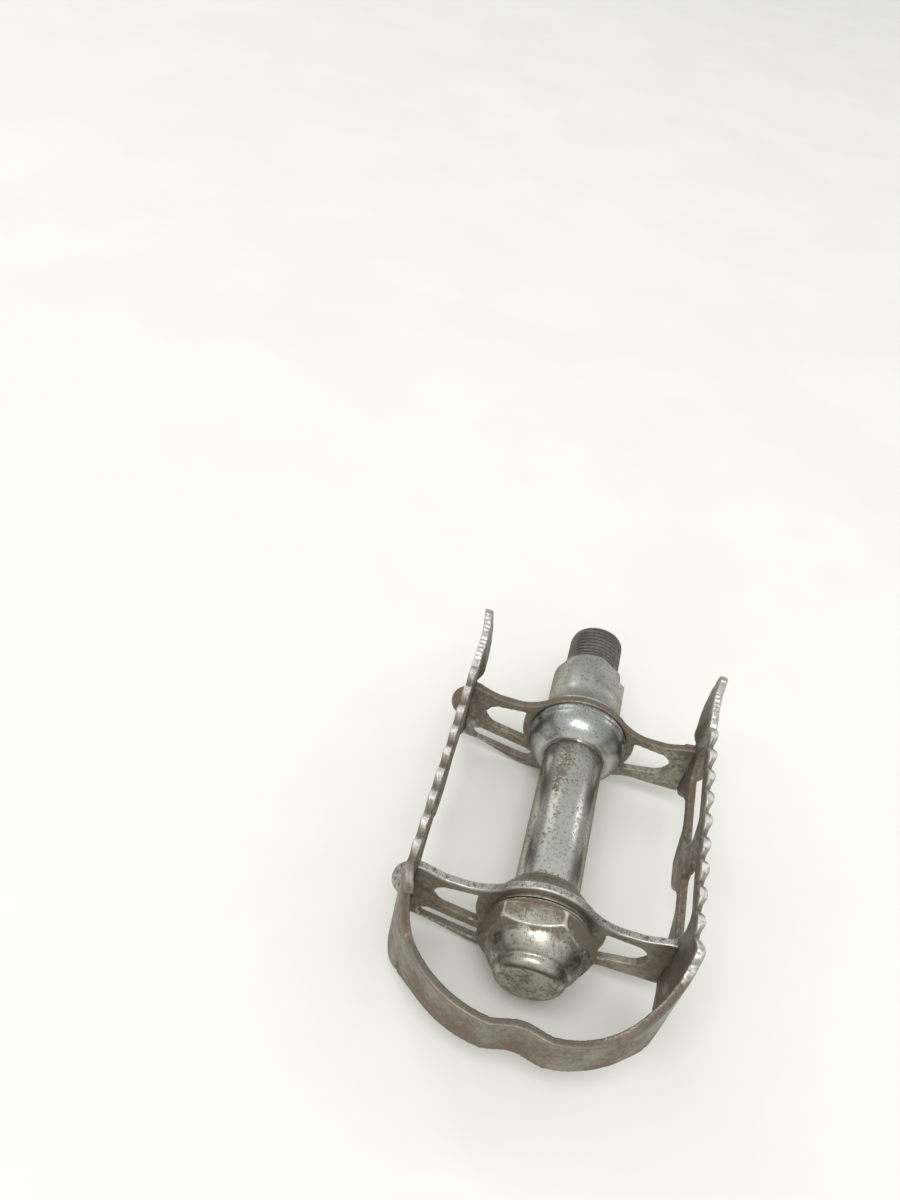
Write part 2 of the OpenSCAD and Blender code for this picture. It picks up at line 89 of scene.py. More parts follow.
cameraView = {
    "place": (0.1952525, -0.0210128, 0.1963502),
    "right": (-0.24322, 0.95836, 0.14966),
    "up": (-0.64224, -0.27474, 0.71557),
    "back": (0.72689, 0.07792, 0.68232),
    "lens": 30.13, "sensor": 36, "nearest": 0.01,
}

studio = {
    "floorSize": 8.0, "floorGap": 0.0002, "floorCloud": (60, 3), "floorRamp": (0.3, 0.7),
    "floorColour": (0.85, 0.85, 0.805, 1), "floorShade": 0.965,
    "floorRough": 0.55, "floorGloss": 0.3,
    "skyBright": (0.998, 1.0, 0.978, 1),
    "skyDark": (0.56, 0.56, 0.565, 1),
    "skyStrength": 0.885, "skyLean": (0.25, -0.12, 0.96), "skyRise": (-0.05, 0.62),
    "lights": {
        # name: place, aim, size, power
        "ceilingSoftbox": ((0.48, -0.12, 1.10), (0.05, 0, 0), (0.72, 0.36), 5.2),
        "leftSoftbox": ((-0.80, -0.80, 0.70), (0.05, 0, 0), (0.45, 0.80), 1.3),
        "rightSoftbox": ((-0.70, 0.86, 0.48), (0.05, 0, 0), (0.16, 0.60), 1.1),
    },
}


def addCamera(view):
    data = bpy.data.cameras.new("photoCamera")
    data.sensor_fit = "VERTICAL"
    data.sensor_width = data.sensor_height = view["sensor"]
    data.lens = view["lens"]
    data.clip_start = view["nearest"]
    camera = bpy.data.objects.new("photoCamera", data)
    turn = Matrix((view["right"], view["up"], view["back"])).transposed()
    camera.matrix_world = Matrix.Translation(view["place"]) @ turn.to_4x4()
    bpy.context.scene.collection.objects.link(camera)
    bpy.context.scene.camera = camera


def addLight(name, place, aim, size, power):
    data = bpy.data.lights.new(name, "AREA")
    data.shape = "RECTANGLE"
    data.size, data.size_y = size
    data.energy = power
    light = bpy.data.objects.new(name, data)
    light.location = place
    light.rotation_mode = "QUATERNION"
    light.rotation_quaternion = (Vector(aim) - Vector(place)).to_track_quat("-Z", "Y")
    light.visible_camera = False
    bpy.context.scene.collection.objects.link(light)


class Wire:
    # a shader socket whose operators add Math nodes
    def __init__(self, look, socket):
        self.look, self.socket = look, socket

    def __add__(self, other):
        return self.look.maths("ADD", self, other)

    def __sub__(self, other):
        return self.look.maths("SUBTRACT", self, other)

    def __rsub__(self, other):
        return self.look.maths("SUBTRACT", other, self)

    def __mul__(self, other):
        return self.look.maths("MULTIPLY", self, other)

    __radd__ = __add__

    def ramp(self, low, high, start=0.0, end=1.0):
        # a soft step from start at low to end at high
        return self.look.node(
            "MapRange", {"interpolation_type": "SMOOTHSTEP"},
            {"Value": self, "From Min": low, "From Max": high, "To Min": start, "To Max": end})

    def rampMm(self, low, high, start=0.0, end=1.0):
        # the same for a place along an axis, with low and high in millimetres
        return self.ramp(low * mm, high * mm, start, end)

    def near(self, middle, reach):
        # one at the middle and nought from reach millimetres on, to both sides
        return self.look.maths("ABSOLUTE", self - middle * mm).rampMm(reach, 0)


class Look:
    # a material, or the sky, being put together
    def __init__(self, name, world=None):
        owner = world or bpy.data.materials.new(name)
        owner.use_nodes = True
        self.made, self.tree = owner, owner.node_tree
        self.tree.nodes.clear()
        self.place = self.node("TexCoord", {}, {}, "Generated" if world else "Object")

    def node(self, kind, settings, inputs, output=0):
        made = self.tree.nodes.new("ShaderNode" + kind)
        for name, value in settings.items():
            setattr(made, name, value)
        for name, value in inputs.items():
            if isinstance(value, Wire):
                self.tree.links.new(value.socket, made.inputs[name])
            else:
                made.inputs[name].default_value = value
        return Wire(self, made.outputs[output]) if made.outputs else made

    def maths(self, operation, *values):
        return self.node("Math", {"operation": operation}, dict(enumerate(values)))

    def cloud(self, grain, detail, rough=0.55, shift=0.0, stretch=(1, 1, 1)):
        # noise with blotches of about grain millimetres
        place = self.node("Mapping", {}, {
            "Vector": self.place, "Location": (shift, 0.7 * shift, -shift), "Scale": stretch})
        return self.node("TexNoise", {}, {
            "Vector": place, "Scale": 1 / (grain * mm), "Detail": detail, "Roughness": rough})

    def along(self, axis):
        return self.node("SeparateXYZ", {}, {"Vector": self.place}, axis)

    def attribute(self, name):
        return self.node("Attribute", {"attribute_name": name}, {}, "Fac")

    def mix(self, factor, low, high):
        # the Mix node's colours are its inputs 6 and 7 and its output 2
        return self.node("Mix", {"data_type": "RGBA"}, {0: factor, 6: low, 7: high}, 2)

    def bump(self, height, depth):
        return self.node("Bump", {}, {"Height": height, "Distance": depth * mm}, "Normal")

    def finish(self, inputs):
        surface = self.node("BsdfPrincipled", {}, inputs)
        self.node("OutputMaterial", {}, {"Surface": surface})
        return self.made


def addPiece(name, form):
    # a bmesh becomes an object at the origin
    mesh = bpy.data.meshes.new(name)
    form.to_mesh(mesh)
    form.free()
    piece = bpy.data.objects.new(name, mesh)
    bpy.context.scene.collection.objects.link(piece)
    return piece


def addSky(values):
    world = bpy.data.worlds.new("softRoom")
    bpy.context.scene.world = world
    room = Look("softRoom", world)
    facing = room.node(
        "VectorMath", {"operation": "DOT_PRODUCT"},
        {0: room.place, 1: values["skyLean"]}, "Value")
    sky = room.mix(facing.ramp(*values["skyRise"]), values["skyDark"], values["skyBright"])
    glow = room.node("Background", {}, {"Color": sky, "Strength": values["skyStrength"]})
    room.node("OutputWorld", {}, {"Surface": glow})


def addFloor(values):
    sheet = bmesh.new()
    bmesh.ops.create_grid(sheet, x_segments=1, y_segments=1, size=values["floorSize"] / 2)
    bmesh.ops.translate(sheet, verts=sheet.verts, vec=(0, 0, cadLow.z - values["floorGap"]))
    floor = addPiece("tableTop", sheet)
    paint = Look("palePaint")
    shade = paint.cloud(*values["floorCloud"]).ramp(*values["floorRamp"])
    shaded = tuple(values["floorShade"] * c for c in values["floorColour"][:3]) + (1,)
    floor.data.materials.append(paint.finish({
        "Base Color": paint.mix(shade, values["floorColour"], shaded),
        "Roughness": values["floorRough"], "Specular IOR Level": values["floorGloss"]}))


addCamera(cameraView)
for name, (place, aim, size, power) in studio["lights"].items():
    addLight(name, place, aim, size, power)
addSky(studio)
addFloor(studio)
bpy.context.scene.view_settings.view_transform = "Standard"


# Worn copies of nodes: remeshed finely enough to round, dent and mark
print("mesh helpers")

smoothing = {"inwards": 0.62, "outwards": -0.65, "hollowLow": 0.01, "hollowHigh": 0.07}


def joinedCopy(node):
    # the node's loose triangles merged into one skin
    form = bmesh.new()
    form.from_mesh(nodes[node].data)
    bmesh.ops.remove_doubles(form, verts=form.verts, dist=weldReach)
    return form


def remeshedCopy(name, node, voxel):
    rough = addPiece(name + "Rough", joinedCopy(node))
    grid = rough.modifiers.new("grid", "REMESH")
    grid.mode = "VOXEL"
    grid.voxel_size = voxel * mm
    shown = rough.evaluated_get(bpy.context.evaluated_depsgraph_get())
    form = bmesh.new()
    form.from_mesh(shown.to_mesh())
    shown.to_mesh_clear()
    bpy.data.objects.remove(rough)
    return addPiece(name, form)


def meshArrays(mesh):
    place = np.empty(3 * len(mesh.vertices))
    normal = np.empty(3 * len(mesh.vertices))
    ends = np.empty(2 * len(mesh.edges), dtype=np.int32)
    mesh.vertices.foreach_get("co", place)
    mesh.vertices.foreach_get("normal", normal)
    mesh.edges.foreach_get("vertices", ends)
    return place.reshape(-1, 3), normal.reshape(-1, 3), ends.reshape(-1, 2)


def setPlaces(mesh, place):
    mesh.vertices.foreach_set("co", place.ravel())
    mesh.update()


def evened(values, ends, steps):
    # each vertex moves towards its neighbours' mean, or past it, by each share in turn
    here, there = ends.ravel(), ends[:, ::-1].ravel()
    links = np.bincount(here, minlength=len(values))
    for share in steps:
        mean = np.stack([
            np.bincount(here, weights=values[there, i], minlength=len(values)) / links
            for i in range(values.shape[1])], axis=1)
        values = values + share * (mean - values)
    return values


def saveAttribute(mesh, name, values):
    made = mesh.attributes.new(name, "FLOAT", "POINT")
    made.data.foreach_set("value", np.clip(values, 0, 1).astype(np.float32))


def softStep(values, low, high):
    t = np.clip((values - low) / (high - low), 0, 1)
    return t * t * (3 - 2 * t)


def inMm(place):
    return (place[:, i] / mm for i in range(3))


def uneven(place, values):
    # how far each vertex of a dented sheet stands out, in millimetres
    return np.array([
        noise.noise(Vector(p) / (values["wave"] * mm)) * values["waveDepth"]
        + noise.noise(Vector(p) / (values["ripple"] * mm)) * values["rippleDepth"]
        for p in place])


def wornCopy(name, node, values, material):
    piece = remeshedCopy(name, node, values["voxel"])
    mesh = piece.data
    place, normal, ends = meshArrays(mesh)
    steps = (smoothing["inwards"], smoothing["outwards"]) * values["softening"]
    setPlaces(mesh, evened(place, ends, steps))
    place, normal, ends = meshArrays(mesh)
    if values["shaping"]:
        place = values["shaping"](place, normal)
    setPlaces(mesh, place + normal * uneven(place, values)[:, None] * mm)
    mesh.shade_smooth()
    place, normal, ends = meshArrays(mesh)
    around = evened(place, ends, (1,) * values["edgeRounds"])
    rise = ((place - around) * normal).sum(axis=1) / mm
    saveAttribute(mesh, "brightEdge", softStep(rise, values["edgeLow"], values["edgeHigh"]))
    saveAttribute(mesh, "hollow", softStep(-rise, smoothing["hollowLow"], smoothing["hollowHigh"]))
    saveAttribute(mesh, "cutFace", values["cutFace"](place, normal))
    saveAttribute(mesh, "sheltered", values["sheltered"](place, normal))
    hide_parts(node)
    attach(piece, body_of(nodes[node])[0])
    piece.data.materials.append(material)
    print(name, len(mesh.polygons), "faces")


# Sheet steel of the cage
print("sheet steel")

steelClouds = {
    # grain in millimetres, detail, roughness, shift, stretch
    "broad": (18, 3, 0.5),
    "patch": (7, 5, 0.6, 0.31),
    "drawn": (1.6, 4, 0.65, 0.44, (0.16, 1, 1)),
    "speck": (0.9, 5, 0.7, 0.12),
    "fine": (0.3, 3, 0.6, 0.53),
}

# spans in millimetres along the axle (X), across it (Y) and up (Z)
steelPlaces = {
    "hornX": (10, 27), "firstTeethX": (19, 23), "loopX": (80, 82),
    "loopStartX": (78.5, 80.5), "loopStartY": (0, -1),
    "chipZ": (-5, -8), "edgeZ": (2, 5), "toothZ": (15, 17),
}

# from where to where in its noise each mark sets in
steelRamps = {
    "film": (0.38, 0.60), "pits": (0.49, 0.60), "grime": (0.42, 0.56),
    "chips": (0.51, 0.56), "glints": (0.38, 0.54),
}

bandTone = {
    "clean": (0.285, 0.268, 0.230, 1), "filmed": (0.180, 0.147, 0.116, 1),
    # the band's cut colour darkens the loop's top edge: rust-brown with painted shade
    "cut": (0.14, 0.11, 0.085, 1), "pit": (0.085, 0.065, 0.05, 1),
    "rust": (0.145, 0.094, 0.064, 1), "bright": (0.74, 0.725, 0.68, 1),
    "cutClean": 0.7, "cutPits": 0.2, "pitMost": 0.45,
    "filmOff": 0.0, "hornFilm": 0.25, "dull": 0.3,
    "rustLow": 0.46, "rustHigh": 0.66, "rustMost": 0.7, "grimeMost": 0.6,
    "chips": 0.3, "edgeMost": 0.07, "toothShine": 1.15,
    "rough": 0.33, "bumpDepth": 0.03,
}
innerPlateTone = dict(
    bandTone, clean=(0.41, 0.395, 0.345, 1), filmed=(0.27, 0.24, 0.19, 1),
    cut=(0.155, 0.118, 0.09, 1), filmOff=0.2, hornFilm=0.9, dull=0.35,
    rustLow=0.41, rustHigh=0.58)
outerPlateTone = dict(
    bandTone, clean=(0.37, 0.34, 0.285, 1), filmed=(0.235, 0.195, 0.15, 1),
    cut=(0.44, 0.445, 0.41, 1), cutClean=0.95, cutPits=0.75, filmOff=0.7, dull=0.4,
    chips=0.9, edgeMost=0.45)


def wornSteel(name, tone):
    # bare steel under a brown film, with rust in its hollows; the tooth crests and upper edges are
    # mixed towards a bright colour, partly rubbed metal and partly painted glint
    look = Look(name)
    x, y, z = (look.along(axis) for axis in "XYZ")
    edge, hollow = look.attribute("brightEdge"), look.attribute("hollow")
    cutFace, sheltered = look.attribute("cutFace"), look.attribute("sheltered")
    broad, patch, drawn, speck, fine = (look.cloud(*c) for c in steelClouds.values())
    grit = speck * 0.7 + fine * 0.3

    high = z.rampMm(*steelPlaces["toothZ"])
    film = (broad * 0.6 + patch * 0.22 + drawn * 0.18).ramp(*steelRamps["film"])
    kept = x.rampMm(*steelPlaces["hornX"], tone["hornFilm"], 1)
    film = film * (1 - cutFace * tone["filmOff"]) * kept
    rust = speck * 0.3 + patch * 0.45 + drawn * 0.25 + hollow * 0.1 + film * 0.05 - edge * 0.1
    rust = (rust + sheltered * 0.07).ramp(tone["rustLow"], tone["rustHigh"]) * kept
    pits = (fine * 0.55 + speck * 0.45).ramp(*steelRamps["pits"])
    grime = sheltered * grit.ramp(*steelRamps["grime"]) * tone["grimeMost"]
    metal = look.mix(film, tone["clean"], tone["filmed"])
    # top faces take the cut colour; on the band this is the loop's top edge, partly rust-brown and
    # partly painted shade
    metal = look.mix(cutFace * tone["cutClean"] * (1 - high), metal, tone["cut"])
    metal = look.mix(rust * tone["rustMost"], metal, tone["rust"])
    metal = look.mix(grime, metal, tone["rust"])
    metal = look.mix(pits * (tone["pitMost"] + cutFace * tone["cutPits"]), metal, tone["pit"])

    # the bright mix below: painted glints on the tooth crests and a painted highlight on edges from a
    # few millimetres up, both partly rubbed bare metal; the chips on low edges are real
    chips = z.rampMm(*steelPlaces["chipZ"]) * grit.ramp(*steelRamps["chips"])
    loopStart = x.rampMm(*steelPlaces["loopStartX"]) * y.rampMm(*steelPlaces["loopStartY"])
    crests = cutFace * x.rampMm(*steelPlaces["loopX"], 1, 0.4) + edge * 0.22
    crests = crests * x.rampMm(*steelPlaces["firstTeethX"], 0.45, 1) * (1 - loopStart * 0.75)
    teeth = high * speck.ramp(*steelRamps["glints"], 0.4, 1) * crests * tone["toothShine"]
    edges = edge * (z.rampMm(*steelPlaces["edgeZ"]) * tone["edgeMost"] + chips * tone["chips"])
    shine = look.maths("MINIMUM", edges + teeth, 1)
    metal = look.mix(shine, metal, tone["bright"])
    rough = tone["rough"] + fine * 0.16 + film * 0.08 + rust * 0.2 - shine * 0.22
    grain = fine * 0.4 + speck * 0.7 - pits * 0.5 + rust * 0.4 + drawn * 0.3
    return look.finish({
        "Base Color": metal, "Metallic": 1 - rust * 0.5 - film * tone["dull"],
        "Roughness": rough, "Normal": look.bump(grain, tone["bumpDepth"])})


# Cage band: one strip with teeth and horns
print("cage band")

toothDips = {
    "lastX": 82.96, "leftShift": 2.4, "pitch": 6.38, "count": 10, "endShare": 0.6, "past": 1,
    "innerY": 29.0, "outerY": 30.7, "footZ": 14.4, "topZ": 16.6, "depth": 1.1, "narrowing": 1.6,
}

hornTwist = {
    "start": 20.2, "length": 2.2, "topX": 7.6, "topZ": 21.8, "slope": 0.2,
    "lean": 0.13, "leanMore": 0.016, "leanX": 19.0, "deepest": 15,
}

fileMarks = {
    "hornStart": 8.2, "hornEnd": 23, "hornFloor": 12, "hornPitch": 1.05, "hornDepth": 0.28,
    "hornSide": (0.25, 0.6), "hornUp": (-0.1, 0.3),
    "cornerLow": 57, "cornerHigh": 86, "fadeIn": 6, "fadeOut": 4, "cornerUp": (0.1, 0.5),
    "cornerPitch": 1.15, "cornerDepth": 0.2, "cornerX": 78.0, "cornerY": 4.35, "cornerR": 27.4,
    "patchScale": 700, "patchMean": 0.45, "patchSpread": 1.3,
}

bandFaces = {
    "crest": (0.06, 0.42), "side": (0.3, 0.6), "toothZ": (15, 17), "loopX": 80, "loopUp": (0.45, 0.75),
    "grimeX": (18, 30), "inwards": (0.3, 0.8), "inwardsMost": 0.7, "slotEndX": 78, "slotZ": (-14, -12),
}


def toothDip(x, y):
    # nought at each crest and one midway between two teeth
    crest = toothDips["lastX"] + np.where(y < 0, toothDips["leftShift"], 0)
    firstX = crest - (toothDips["count"] - toothDips["endShare"]) * toothDips["pitch"]
    dip = 0.5 - 0.5 * np.cos(2 * np.pi * (x - crest) / toothDips["pitch"])
    return dip * (x < crest + toothDips["past"]) * (x > firstX)


def bandCutFace(place, normal):
    # the teeth's crests and the horns' top edge, and the top edge of the loop
    x, y, z = inMm(place)
    crest = 1 - softStep(toothDip(x, y), *bandFaces["crest"])
    side = softStep(1 - np.abs(normal[:, 1]), *bandFaces["side"])
    top = side * softStep(z, *bandFaces["toothZ"]) * crest
    return np.where(x > bandFaces["loopX"], softStep(normal[:, 2], *bandFaces["loopUp"]), top)


def bandSheltered(place, normal):
    # grime gathers on the inner faces of the sides and the loop, and in the slots
    x, y, z = inMm(place)
    inwards = np.maximum(-np.sign(y) * normal[:, 1], -normal[:, 0] * (x > bandFaces["loopX"]))
    inner = softStep(inwards, *bandFaces["inwards"]) * bandFaces["inwardsMost"]
    slots = softStep(1 - np.abs(normal[:, 1]), *bandFaces["side"])
    slots = slots * (x < bandFaces["slotEndX"]) * softStep(-z, *bandFaces["slotZ"])
    return softStep(x, *bandFaces["grimeX"]) * np.maximum(inner, slots)


def twistHorns(place):
    # the lower edge of each horn leans in towards the axle, more so at its tip
    x, y, z = inMm(place)
    share = softStep(hornTwist["start"] - x, 0, hornTwist["length"])
    below = hornTwist["topZ"] - (x - hornTwist["topX"]) * hornTwist["slope"] - z
    lean = hornTwist["lean"] + hornTwist["leanMore"] * (hornTwist["leanX"] - x)
    place[:, 1] -= np.sign(y) * share * np.clip(below, 0, hornTwist["deepest"]) * lean * mm
    return place


def hollowValleys(place):
    # the dips between the teeth are cut slanting, deeper on the outer face
    x, y, z = inMm(place)
    dip = toothDip(x, y) ** toothDips["narrowing"]
    outer = softStep(np.abs(y), toothDips["innerY"], toothDips["outerY"])
    high = softStep(z, toothDips["footZ"], toothDips["topZ"])
    place[:, 1] -= np.sign(y) * dip * outer * high * toothDips["depth"] * mm
    return place


def ridges(run, pitch):
    # one at each whole pitch and nought halfway
    return np.abs(run / pitch % 1 - 0.5) * 2


def filedEdges(place, normal):
    # file marks across the horns' top edge and round the corner on the +Y side
    x, y, z = inMm(place)
    patchy = np.array([
        fileMarks["patchMean"]
        + fileMarks["patchSpread"] * noise.noise(Vector(p) * fileMarks["patchScale"])
        for p in place])
    side = softStep(1 - np.abs(normal[:, 1]), *fileMarks["hornSide"])
    edge = side * softStep(normal[:, 2], *fileMarks["hornUp"])
    along = (x > fileMarks["hornStart"]) & (x < fileMarks["hornEnd"])
    onHorn = (along & (z > fileMarks["hornFloor"])) * edge
    depth = onHorn * fileMarks["hornDepth"] * ridges(x, fileMarks["hornPitch"])

    turn = np.degrees(np.arctan2(y - fileMarks["cornerY"], x - fileMarks["cornerX"]))
    low, high = fileMarks["cornerLow"], fileMarks["cornerHigh"]
    onCorner = softStep(turn, low, low + fileMarks["fadeIn"])
    onCorner = onCorner * softStep(-turn, -high, -high + fileMarks["fadeOut"])
    onCorner = onCorner * softStep(normal[:, 2], *fileMarks["cornerUp"])
    onCorner = onCorner * (x > fileMarks["cornerX"])
    marks = ridges(np.radians(turn) * fileMarks["cornerR"], fileMarks["cornerPitch"])
    depth = depth + onCorner * fileMarks["cornerDepth"] * marks
    return place - normal * (depth * np.clip(patchy, 0, 1))[:, None] * mm


bandValues = {
    "voxel": 0.32, "softening": 9,
    "wave": 9, "waveDepth": 0.10, "ripple": 2.6, "rippleDepth": 0.035,
    "edgeRounds": 8, "edgeLow": 0.05, "edgeHigh": 0.16,
    "cutFace": bandCutFace, "sheltered": bandSheltered,
    "shaping": lambda place, normal: twistHorns(hollowValleys(filedEdges(place, normal))),
}

wornCopy("toothedBand", "cage_band", bandValues, wornSteel("wornCageSteel", bandTone))


# Cross plates, peened over outside the band
print("cross plates")

plateFaces = {
    "side": (0.3, 0.6), "topZ": (4.2, 4.9), "headY": 30.9, "grimeY": (26, 30), "grime": 0.4,
}


def plateCutFace(place, normal):
    # the top edge, and the heads outside the side plates
    x, y, z = inMm(place)
    side = softStep(1 - np.abs(normal[:, 0]), *plateFaces["side"])
    return np.maximum(side * softStep(z, *plateFaces["topZ"]), np.abs(y) > plateFaces["headY"])


def plateSheltered(place, normal):
    # the corner at the -Y side
    return softStep(-place[:, 1] / mm, *plateFaces["grimeY"]) * plateFaces["grime"]


plateValues = dict(
    bandValues, voxel=0.26, softening=6, waveDepth=0.05, edgeRounds=7,
    cutFace=plateCutFace, sheltered=plateSheltered, shaping=None)

wornCopy(
    "innerPlateWorn", "inner_cross_plate", plateValues,
    wornSteel("wornInnerPlateSteel", innerPlateTone))
wornCopy(
    "outerPlateWorn", "outer_cross_plate", plateValues,
    wornSteel("wornOuterPlateSteel", outerPlateTone))


# Turned pieces, plated or ground
print("turned pieces")

dressValues = {
    "bevel": 0.22, "segments": 2, "sharpAngle": 28, "flatAngle": 0.4, "smoothAngle": 50, "cutAt": None,
}


def cutOff(form, x, side):
    # all beyond x on the given side goes, and the cut stays open
    bmesh.ops.bisect_plane(
        form, geom=form.verts[:] + form.edges[:] + form.faces[:], dist=cutReach,
        plane_co=(x * mm, 0, 0), plane_no=(side, 0, 0), clear_outer=True)


def closeCuts(form):
    bmesh.ops.holes_fill(form, edges=[e for e in form.edges if e.is_boundary])


def dressedCopy(name, node, material, values=dressValues):
    # the node's own skin with its flats joined, its sharp edges eased and its curves smooth
    form = joinedCopy(node)
    if values["cutAt"] is not None:
        cutOff(form, values["cutAt"], -1)
        closeCuts(form)
    bmesh.ops.dissolve_limit(
        form, angle_limit=math.radians(values["flatAngle"]), verts=form.verts, edges=form.edges)
    sharp, smooth = math.radians(values["sharpAngle"]), math.radians(values["smoothAngle"])
    bmesh.ops.bevel(
        form, geom=[e for e in form.edges if e.is_manifold and e.calc_face_angle() > sharp],
        offset=values["bevel"] * mm, offset_type="OFFSET", affect="EDGES",
        segments=values["segments"], profile=0.5, material=-1, clamp_overlap=True)
    for face in form.faces:
        face.smooth = True
    for edge in form.edges:
        edge.smooth = len(edge.link_faces) != 2 or edge.calc_face_angle() < smooth
    piece = addPiece(name, form)
    piece.data.materials.append(material)
    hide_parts(node)
    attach(piece, body_of(nodes[node])[0])


platedClouds = {
    # grain in millimetres, detail, roughness, shift, stretch
    "broad": (11, 2, 0.45, 0.2),
    "patch": (3.4, 5, 0.65, 0.41),
    "speck": (0.7, 4, 0.7, 0.17),
    "fine": (0.28, 3, 0.6, 0.66),
    "drawn": (0.5, 4, 0.6, 0.9, (0.06, 1, 1)),
}

platedRamps = {"haze": (0.38, 0.64), "wearAndHighlight": (0.42, 0.56), "pitSpan": 0.07}
platedPlaces = {"stainZ": (0, 2), "wearAndHighlightZ": (3, 10)}


def plated(name, tone):
    # nickel or chrome with a thin haze, dark specks, and rust below and round its seams
    look = Look(name)
    x, y, z = (look.along(axis) for axis in "XYZ")
    edge, side = look.attribute("brightEdge"), look.attribute("cutFace")
    broad, patch, speck, fine, drawn = (look.cloud(*c) for c in platedClouds.values())
    grit = speck * 0.5 + patch * 0.5

    # pull is how much more a place rusts and hazes; on the cap's hexagon side facets part of it is
    # painted shade
    lean, highZ, lowZ, most = tone["below"]
    pull = (z - y * lean).rampMm(highZ, lowZ) * most
    for seamX, reach in tone["seams"]:
        pull = x.near(seamX, reach) * tone["seamPull"] + pull
    if tone["towards"]:
        cleanX, dirtyX, most = tone["towards"]
        # side holds the cap's hexagon facets that don't look up: painted shade, mixed in as more rust
        # and haze
        pull = x.rampMm(cleanX, dirtyX) * most + pull + side * tone["paintedFacetShade"]
    if tone["stain"]:
        midY, wideY, nearX, farX, most = tone["stain"]
        across = y.near(midY, wideY) * x.rampMm(farX, nearX, 0.35, 1)
        pull = across * z.rampMm(*platedPlaces["stainZ"]) * most + pull

    rust = (grit + pull).ramp(tone["rustLow"], tone["rustHigh"])
    pits = fine * 0.45 + speck * 0.55
    pits = pits.ramp(tone["pitLow"], tone["pitLow"] + platedRamps["pitSpan"])
    haze = (broad * 0.6 + patch * 0.25 + drawn * 0.15 + pull).ramp(*platedRamps["haze"])
    metal = look.mix(haze, tone["clean"], tone["haze"])
    metal = look.mix(pits * 0.7, metal, tone["pit"])
    metal = look.mix(rust * tone["rustMost"], metal, tone["rust"])
    # painted light: between these places along the axle the metal is mixed towards the bright colour,
    # covering the dark reflection where the inner cup meets the tube
    if tone["paintedLightBand"]:
        fromX, toX, most = tone["paintedLightBand"]
        metal = look.mix(x.rampMm(fromX, toX) * most, metal, tone["bright"])
    # upper convex edges mixed towards the bright colour: partly rubbed plating, partly painted
    # highlight
    wearAndHighlight = edge * grit.ramp(*platedRamps["wearAndHighlight"]) * z.rampMm(*platedPlaces["wearAndHighlightZ"], 0.25, 1)
    metal = look.mix(wearAndHighlight * tone["edgeMost"], metal, tone["bright"])
    rough = tone["rough"] + haze * 0.07 + (fine + drawn) * 0.04 + rust * 0.3 + pits * 0.15
    grain = rust * 0.6 - pits * 0.6 + fine * 0.3 + drawn * 0.25
    return look.finish({
        "Base Color": metal, "Metallic": 1 - rust * 0.6, "Roughness": rough,
        "Specular Tint": tone["grazing"], "Normal": look.bump(grain, tone["bumpDepth"])})


# Barrel tube
tubeTone = {
    "clean": (0.54, 0.545, 0.505, 1), "haze": (0.43, 0.435, 0.39, 1),
    "pit": (0.10, 0.09, 0.07, 1), "rust": (0.14, 0.113, 0.078, 1),
    "bright": (0.66, 0.65, 0.60, 1), "grazing": (0.45, 0.43, 0.39, 1),
    "rustLow": 0.58, "rustHigh": 0.68, "rustMost": 0.8, "pitLow": 0.525,
    # lean across, clean from this height, full at that one, most
    "below": (0.5, 2.0, -3.5, 0.16),
    # place along the axle and reach of each
    "seams": ((30.6, 1.0), (69.0, 1.4)), "seamPull": 0.06,
    # towards: clean from this place along the axle, full at that one, most; then the strength of the
    # painted facet shade; then the painted light band, from and to along the axle, most
    "towards": None, "paintedFacetShade": 0, "paintedLightBand": None,
    # middle and width across, near and far end along the axle, most
    "stain": (-2.9, 3.4, 33, 60, 0.17),
    "edgeMost": 0, "rough": 0.2, "bumpDepth": 0.016,
}

dressedCopy(
    "barrelTubeDressed", "barrel_tube", plated("hazedTubeChrome", tubeTone),
    dict(dressValues, bevel=0.1))


# Cups
# the inner cup's band next to the tube is painted light
innerCupTone = dict(
    tubeTone, clean=(0.42, 0.43, 0.42, 1), haze=(0.31, 0.32, 0.305, 1), rough=0.19,
    seams=((22.6, 1.0),), seamPull=0.04, paintedLightBand=(29.0, 30.3, 0.55),
    below=(0, 4, -7, 0.05), stain=None)
outerCupTone = dict(
    tubeTone, clean=(0.48, 0.47, 0.415, 1), haze=(0.36, 0.34, 0.285, 1), rough=0.28,
    rustLow=0.485, rustHigh=0.60, seams=((69.8, 1.2), (74.9, 1.6)),
    below=(0, 4, -7, 0.05), stain=None)

dressedCopy("innerCupDressed", "inner_cup", plated("brightCupChrome", innerCupTone))
dressedCopy("outerCupDressed", "outer_cup", plated("speckledCupChrome", outerCupTone))


# Dust cap
capFaces = {"up": 0.93, "fade": 0.12, "endX": 85.3}


def paintedShadeFacets(place, normal):
    # the hexagon's faces that don't look up, which get painted shade
    leaning = softStep(capFaces["up"] - normal[:, 2], 0, capFaces["fade"])
    return leaning * (place[:, 0] < capFaces["endX"] * mm)


def nowhere(place, normal):
    return np.zeros(len(place))


capValues = dict(
    bandValues, voxel=0.28, wave=6, waveDepth=0.06, rippleDepth=0.02,
    edgeRounds=5, edgeLow=0.035, edgeHigh=0.10,
    cutFace=paintedShadeFacets, sheltered=nowhere, shaping=None)
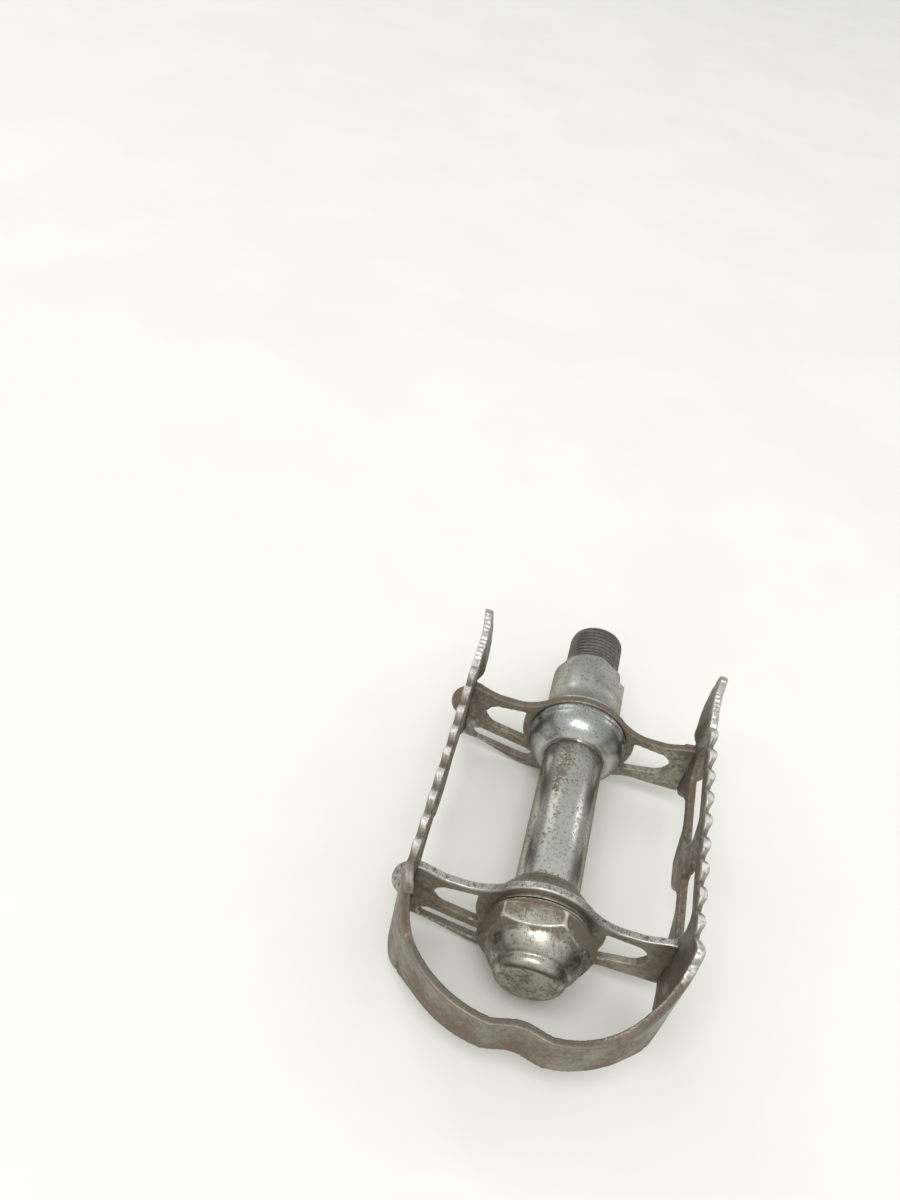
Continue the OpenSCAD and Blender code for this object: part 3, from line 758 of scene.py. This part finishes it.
# the cap's hexagon facets that don't look up get painted shade
capTone = dict(
    tubeTone, clean=(0.48, 0.475, 0.425, 1), haze=(0.34, 0.32, 0.27, 1), rough=0.25,
    rust=(0.15, 0.112, 0.082, 1), rustLow=0.50, rustHigh=0.66, pitLow=0.53,
    seams=((78.8, 1.2),), seamPull=0.08, towards=(84.0, 80.4, 0.135), paintedFacetShade=0.095,
    below=(0, 7, -2, 0.07), stain=None, edgeMost=0.8)

wornCopy("dustCapWorn", "dust_cap", capValues, plated("mottledCapChrome", capTone))


# Spindle, whose plain crank end gives way to the ridged thread below
spindleTone = dict(
    tubeTone, clean=(0.56, 0.57, 0.53, 1), haze=(0.43, 0.437, 0.40, 1),
    seams=((5.0, 1.0), (17.5, 1.2)), seamPull=0.07, below=(0, 0, -9, 0.05), stain=None)

dressedCopy(
    "spindleDressed", "spindle", plated("polishedSpindleSteel", spindleTone),
    dict(dressValues, bevel=0.18, sharpAngle=25, cutAt=-0.4))


# Bearings, hidden in the barrel and under the cap
bearingTone = dict(spindleTone, seams=(), rustLow=0.66, rustHigh=0.7)

bearingSteel = plated("groundBearingSteel", bearingTone)
for node in nodes:
    if "ball" in node or node in ("adjusting_cone", "lock_washer", "lock_nut"):
        nodes[node].material_slots[0].material = bearingSteel


# Crank thread
threadTone = dict(
    tubeTone, clean=(0.30, 0.305, 0.275, 1), haze=(0.20, 0.195, 0.17, 1), rough=0.3,
    rustLow=0.54, seams=((0.0, 1.4),), stain=None)

threadValues = {
    "radius": 7.14, "length": 12.8, "pitch": 1.27, "depth": 0.72, "rootFlat": 0.2, "crestFlat": 0.125,
    "chamfer": 0.8, "innerX": 0.3, "spareTurns": 3, "steps": 72,
}


def chamferEnd(form, values):
    for vert in form.verts:
        depth = max(0, values["chamfer"] - values["length"] - vert.co.x / mm)
        reach = Vector((0, vert.co.y, vert.co.z))
        most = (values["radius"] - depth) * mm
        if reach.length > most:
            reach *= most / reach.length
            vert.co.y, vert.co.z = reach.y, reach.z


def crankThread(values, material):
    # a zigzag swept round the axle with the pitch, then cut to length and closed
    form = bmesh.new()
    pitch, radius = values["pitch"], values["radius"]
    flank = (1 - values["rootFlat"] - values["crestFlat"]) / 2
    # share of the pitch, and one where the line lies at the root
    corners = ((0, 1), (values["rootFlat"], 1), (values["rootFlat"] + flank, 0), (1 - flank, 0))
    line = []
    for i in range(math.ceil(values["length"] / pitch) + values["spareTurns"]):
        for share, low in corners:
            x = (i + share - 1) * pitch - values["length"]
            line.append(form.verts.new((x * mm, 0, (radius - low * values["depth"]) * mm)))
    outline = [form.edges.new(pair) for pair in zip(line, line[1:])]
    bmesh.ops.spin(
        form, geom=line + outline, cent=(0, 0, 0), axis=(1, 0, 0), angle=2 * math.pi,
        dvec=(-pitch * mm / values["steps"], 0, 0), steps=values["steps"], use_merge=False)
    bmesh.ops.remove_doubles(form, verts=form.verts, dist=weldReach)
    cutOff(form, -values["length"], -1)
    cutOff(form, values["innerX"], 1)
    chamferEnd(form, values)
    closeCuts(form)
    bmesh.ops.recalc_face_normals(form, faces=form.faces)
    piece = addPiece("crankThread", form)
    piece.data.materials.append(material)
    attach(piece, body_of(nodes["spindle"])[0])


crankThread(threadValues, plated("darkThreadSteel", threadTone))
